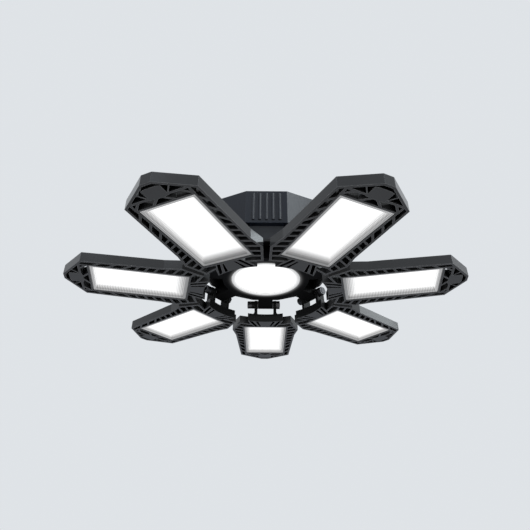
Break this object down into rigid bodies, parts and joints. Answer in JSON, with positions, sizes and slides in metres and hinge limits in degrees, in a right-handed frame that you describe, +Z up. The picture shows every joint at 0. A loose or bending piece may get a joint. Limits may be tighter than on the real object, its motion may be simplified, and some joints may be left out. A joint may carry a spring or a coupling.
{
  "type": "deformable garage ceiling light",
  "caption": "Screw-in ceiling light with hinged black light leaves around a round lit centre and a faceted driver housing.",
  "frame": {"origin": "on the screw base's axis, at the lower edge of its first thread crest", "axes": "+Z up into the lamp socket along the screw base's axis; +Y out along leaf 1; the leaves face -Z when flat"},
  "size_m": [0.3736, 0.3643, 0.1112],
  "materials": {
    "leaf_casting": "satin black powder coat on die-cast aluminium",
    "hub_casting": "satin black powder coat on die-cast aluminium",
    "housing_casting": "satin blue-black powder coat",
    "lit_lens": "frosted prismatic diffuser, lit",
    "led_board": "white solder mask on an aluminium board",
    "small_screws": "zinc plated",
    "hinge_steel": "black oxide",
    "washer_nylon": "dark nylon",
    "nickel_shell": "nickel plated brass, bright",
    "base_glass": "black glass",
    "black_plastic": "fine matt moulded texture",
    "circuit_board": "green solder mask with dark components"
  },
  "bodies": {
    "hub": {"screw_shell": "nickel_shell", "base_insulator": "base_glass", "centre_contact": "nickel_shell", "base_collar": "black_plastic", "housing_cover": "housing_casting", "driver_housing": "housing_casting", "driver_board": "circuit_board", "hub_body": "hub_casting", "disc_lens": "lit_lens", "disc_led_board": "led_board", "hub_screws": "small_screws"},
    "leaf_1": {"leaf_1_frame": "leaf_casting", "leaf_1_lens": "lit_lens", "leaf_1_led_board": "led_board", "leaf_1_board_screws": "small_screws", "leaf_1_hinge_bolt": "hinge_steel", "leaf_1_hinge_nut": "hinge_steel", "leaf_1_friction_washers": "washer_nylon"},
    "leaf_2": {"leaf_2_frame": "leaf_casting", "leaf_2_lens": "lit_lens", "leaf_2_led_board": "led_board", "leaf_2_board_screws": "small_screws", "leaf_2_hinge_bolt": "hinge_steel", "leaf_2_hinge_nut": "hinge_steel", "leaf_2_friction_washers": "washer_nylon"},
    "leaf_3": {"leaf_3_frame": "leaf_casting", "leaf_3_lens": "lit_lens", "leaf_3_led_board": "led_board", "leaf_3_board_screws": "small_screws", "leaf_3_hinge_bolt": "hinge_steel", "leaf_3_hinge_nut": "hinge_steel", "leaf_3_friction_washers": "washer_nylon"},
    "leaf_4": {"leaf_4_frame": "leaf_casting", "leaf_4_lens": "lit_lens", "leaf_4_led_board": "led_board", "leaf_4_board_screws": "small_screws", "leaf_4_hinge_bolt": "hinge_steel", "leaf_4_hinge_nut": "hinge_steel", "leaf_4_friction_washers": "washer_nylon"},
    "leaf_5": {"leaf_5_frame": "leaf_casting", "leaf_5_lens": "lit_lens", "leaf_5_led_board": "led_board", "leaf_5_board_screws": "small_screws", "leaf_5_hinge_bolt": "hinge_steel", "leaf_5_hinge_nut": "hinge_steel", "leaf_5_friction_washers": "washer_nylon"},
    "leaf_6": {"leaf_6_frame": "leaf_casting", "leaf_6_lens": "lit_lens", "leaf_6_led_board": "led_board", "leaf_6_board_screws": "small_screws", "leaf_6_hinge_bolt": "hinge_steel", "leaf_6_hinge_nut": "hinge_steel", "leaf_6_friction_washers": "washer_nylon"},
    "leaf_7": {"leaf_7_frame": "leaf_casting", "leaf_7_lens": "lit_lens", "leaf_7_led_board": "led_board", "leaf_7_board_screws": "small_screws", "leaf_7_hinge_bolt": "hinge_steel", "leaf_7_hinge_nut": "hinge_steel", "leaf_7_friction_washers": "washer_nylon"}
  },
  "joints": [
    {"name": "leaf_1_hinge", "type": "hinge", "parent": "hub", "child": "leaf_1", "pos_m": [0, 0.066, -0.0645], "axis": [1, 0, 0], "range_deg": [-10, 90]},
    {"name": "leaf_2_hinge", "type": "hinge", "parent": "hub", "child": "leaf_2", "pos_m": [-0.0516, 0.04115, -0.0645], "axis": [0.6235, 0.7818, 0], "range_deg": [-10, 90]},
    {"name": "leaf_3_hinge", "type": "hinge", "parent": "hub", "child": "leaf_3", "pos_m": [-0.06434, -0.01469, -0.0645], "axis": [-0.2225, 0.9749, 0], "range_deg": [-10, 90]},
    {"name": "leaf_4_hinge", "type": "hinge", "parent": "hub", "child": "leaf_4", "pos_m": [-0.02864, -0.05946, -0.0645], "axis": [-0.901, 0.4339, 0], "range_deg": [-10, 90]},
    {"name": "leaf_5_hinge", "type": "hinge", "parent": "hub", "child": "leaf_5", "pos_m": [0.02864, -0.05946, -0.0645], "axis": [-0.901, -0.4339, 0], "range_deg": [-10, 90]},
    {"name": "leaf_6_hinge", "type": "hinge", "parent": "hub", "child": "leaf_6", "pos_m": [0.06434, -0.01469, -0.0645], "axis": [-0.2225, -0.9749, 0], "range_deg": [-10, 90]},
    {"name": "leaf_7_hinge", "type": "hinge", "parent": "hub", "child": "leaf_7", "pos_m": [0.0516, 0.04115, -0.0645], "axis": [0.6235, -0.7818, 0], "range_deg": [-10, 90]}
  ]
}
